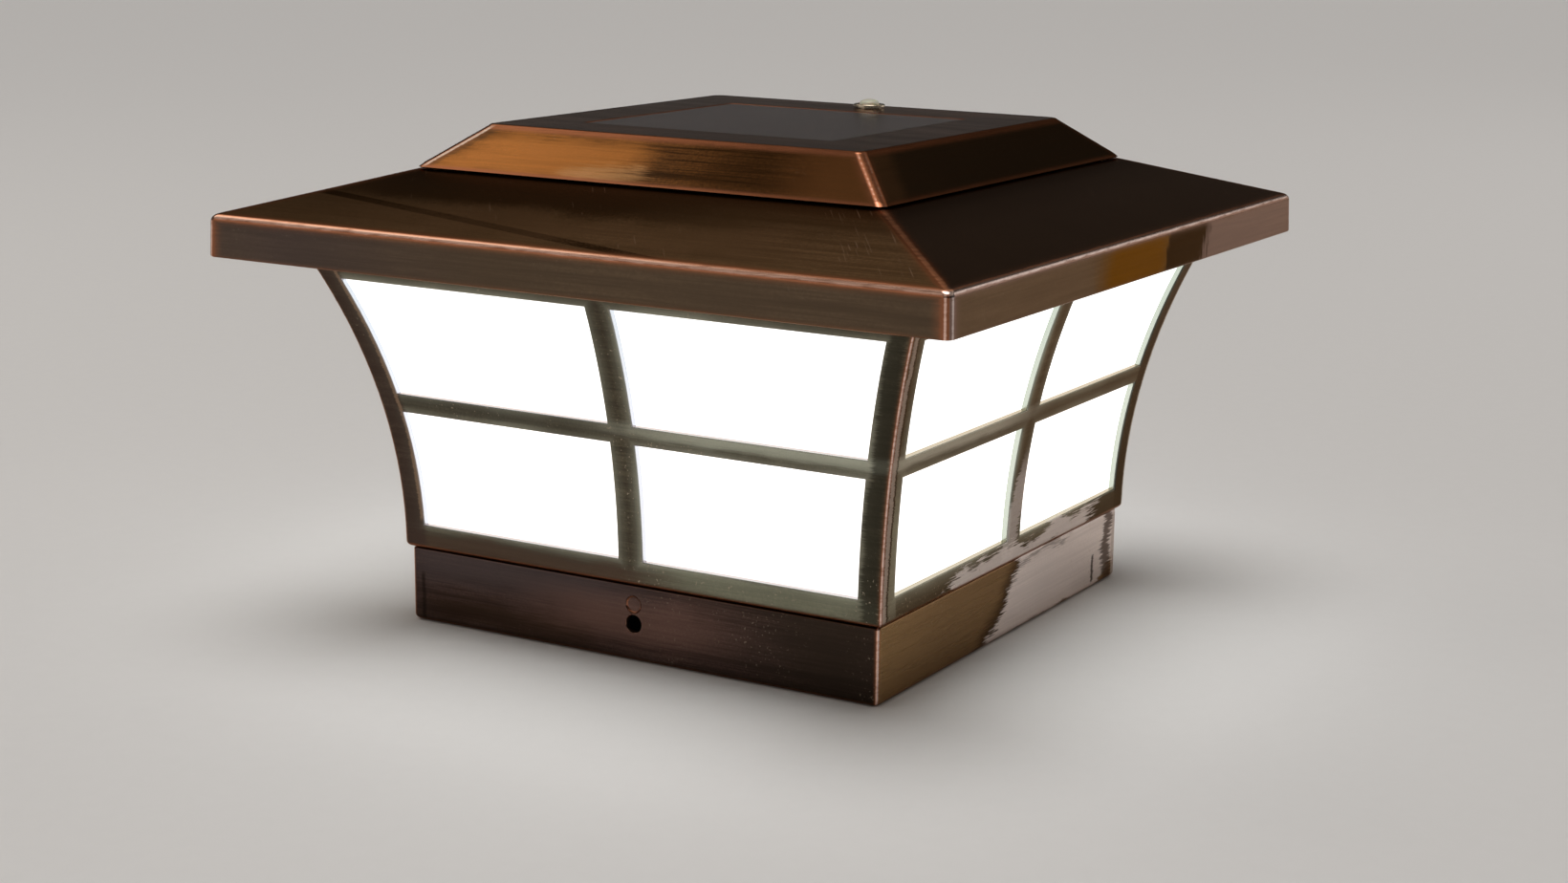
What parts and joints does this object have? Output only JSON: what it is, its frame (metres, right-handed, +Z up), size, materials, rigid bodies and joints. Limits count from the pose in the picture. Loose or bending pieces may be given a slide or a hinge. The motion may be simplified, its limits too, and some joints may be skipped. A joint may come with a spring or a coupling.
{
  "type": "solar fence post cap light",
  "caption": "Square lantern-style solar cap for a 6x6 fence post, with a flared four-sided window frame, frosted lenses and a hipped lift-off roof carrying a solar panel and a push button.",
  "frame": {"origin": "centre of the square that the collar's bottom rim stands on", "axes": "+Z up the post; -Y towards the wall of the cap with a post screw hole that the picture shows on the left, +X towards the wall shown on the right"},
  "size_m": [0.2248, 0.2248, 0.1422],
  "materials": {
    "antique_copper": "antique copper plate, brushed level, blackened and rubbed bright on its edges",
    "frosted_lens": "frosted white acrylic, lit from inside",
    "white_plastic": "satin white moulding",
    "panel_black": "black laminate",
    "silicon": "dark blue-black silicon cell under clear resin",
    "cover_glass": "clear cover over the cells",
    "clear_silicone": "translucent cream silicone",
    "nickel_plate": "bright nickel plate",
    "circuit_board": "green solder mask",
    "battery_sleeve": "shrunk blue sleeve",
    "zinc_screw": "bright zinc plate",
    "led_lens": "clear moulded lens over a yellow chip",
    "black_plastic": "black moulding",
    "gasket_rubber": "black sponge gasket",
    "wire_red": "red insulation",
    "wire_black": "black insulation"
  },
  "bodies": {
    "lantern": {"base_collar": "antique_copper", "window_frame": "antique_copper", "lens_front": "frosted_lens", "lens_right": "frosted_lens", "lens_back": "frosted_lens", "lens_left": "frosted_lens", "floor_plate": "white_plastic", "base_screw_1": "zinc_screw", "base_screw_2": "zinc_screw", "base_screw_3": "zinc_screw", "base_screw_4": "zinc_screw"},
    "head": {"roof_pan": "antique_copper", "crown_cap": "antique_copper", "light_tray": "white_plastic", "battery_holder": "white_plastic", "crown_screw_1": "zinc_screw", "crown_screw_2": "zinc_screw", "crown_screw_3": "zinc_screw", "crown_screw_4": "zinc_screw", "tray_screw_1": "zinc_screw", "tray_screw_2": "zinc_screw", "tray_screw_3": "zinc_screw", "tray_screw_4": "zinc_screw", "door_hinge_pin": "zinc_screw", "switch_nut": "zinc_screw", "panel_gasket": "gasket_rubber", "panel_board": "panel_black", "solar_cell_1": "silicon", "solar_cell_2": "silicon", "solar_cell_3": "silicon", "solar_cell_4": "silicon", "solar_cell_5": "silicon", "solar_cell_6": "silicon", "solar_cell_7": "silicon", "solar_cell_8": "silicon", "panel_glass": "cover_glass", "switch_bezel": "nickel_plate", "battery_contact_plus": "nickel_plate", "battery_contact_minus": "nickel_plate", "battery_spring": "nickel_plate", "switch_body": "black_plastic", "driver_chip": "black_plastic", "choke_coil": "black_plastic", "battery": "battery_sleeve", "main_board": "circuit_board", "led_1": "led_lens", "led_2": "led_lens", "led_3": "led_lens", "led_4": "led_lens", "panel_wire_red": "wire_red", "battery_wire_red": "wire_red", "switch_wire_red": "wire_red", "panel_wire_black": "wire_black", "battery_wire_black": "wire_black", "switch_wire_black": "wire_black"},
    "power_button": {"power_button": "clear_silicone"},
    "battery_door": {"battery_door": "white_plastic"}
  },
  "joints": [
    {"name": "head_lift", "type": "slide", "parent": "lantern", "child": "head", "axis": [0, 0, 1], "range_m": [0, 0.06]},
    {"name": "button_press", "type": "slide", "parent": "head", "child": "power_button", "axis": [0, 0, -1], "range_m": [0, 0.001], "stiffness_N_per_m": 1500, "springref_m": -0.001},
    {"name": "battery_door_hinge", "type": "hinge", "parent": "head", "child": "battery_door", "pos_m": [0, 0.0146, 0.1038], "axis": [-1, 0, 0], "range_deg": [0, 100]}
  ]
}
